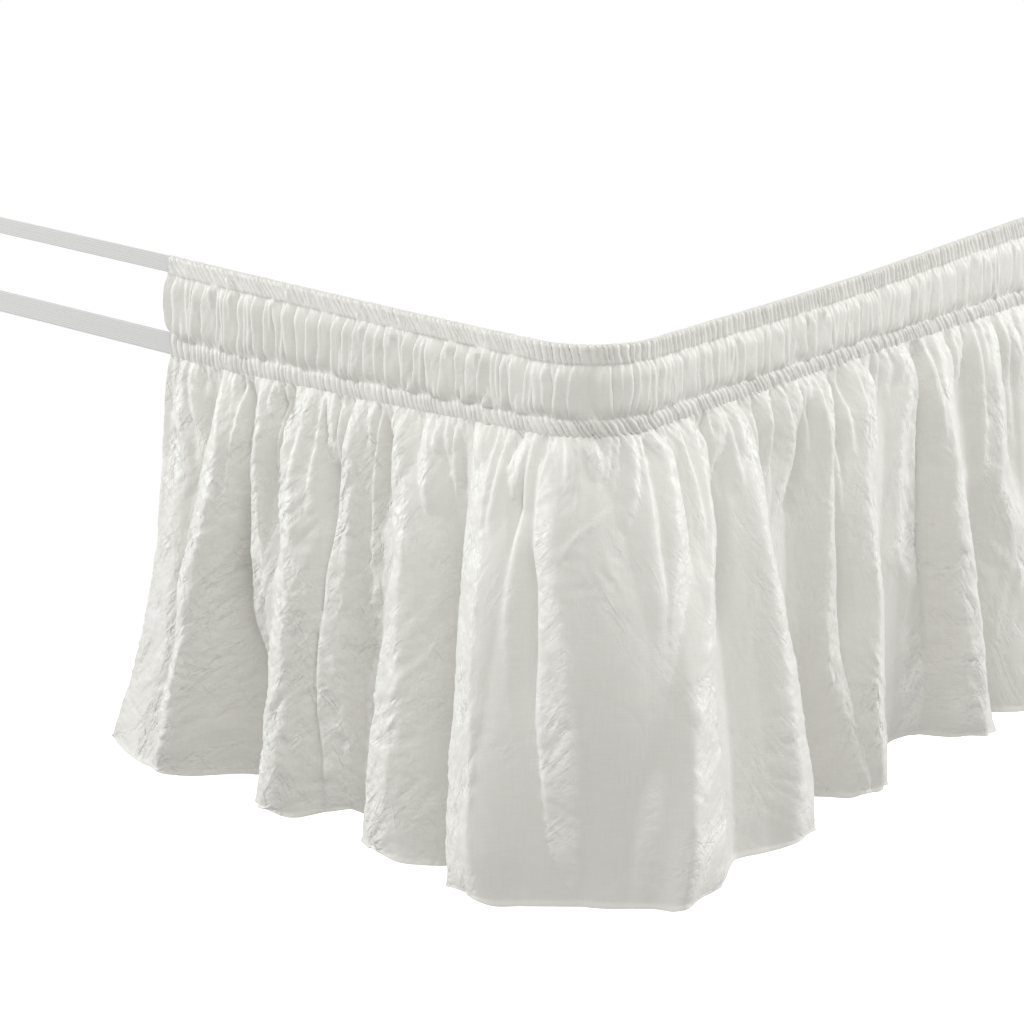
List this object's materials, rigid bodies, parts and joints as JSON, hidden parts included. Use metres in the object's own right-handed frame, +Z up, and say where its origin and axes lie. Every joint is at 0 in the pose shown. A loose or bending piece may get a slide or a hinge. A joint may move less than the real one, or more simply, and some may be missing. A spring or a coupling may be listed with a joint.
{
  "type": "bed skirt",
  "caption": "Wrap-around bed skirt: gathered ivory crinkle cloth on an elastic heading, open at the head end where flat elastics close the loop round the bed base.",
  "frame": {"origin": "on the floor under the middle of the bed, at the bottom centre of the skirt's bounding box", "axes": "+Z up; +Y along the bed from the head end to the foot end; +X across the bed, to the side whose corner the folds were modelled from"},
  "size_m": [1.696, 2.2, 0.4573],
  "materials": {
    "cloth": "crinkled weave with a soft sheen",
    "elastic": "matte ribbed knit"
  },
  "bodies": {
    "root": {"skirt_cloth": "cloth", "strap_upper": "elastic", "strap_lower": "elastic"}
  },
  "joints": []
}
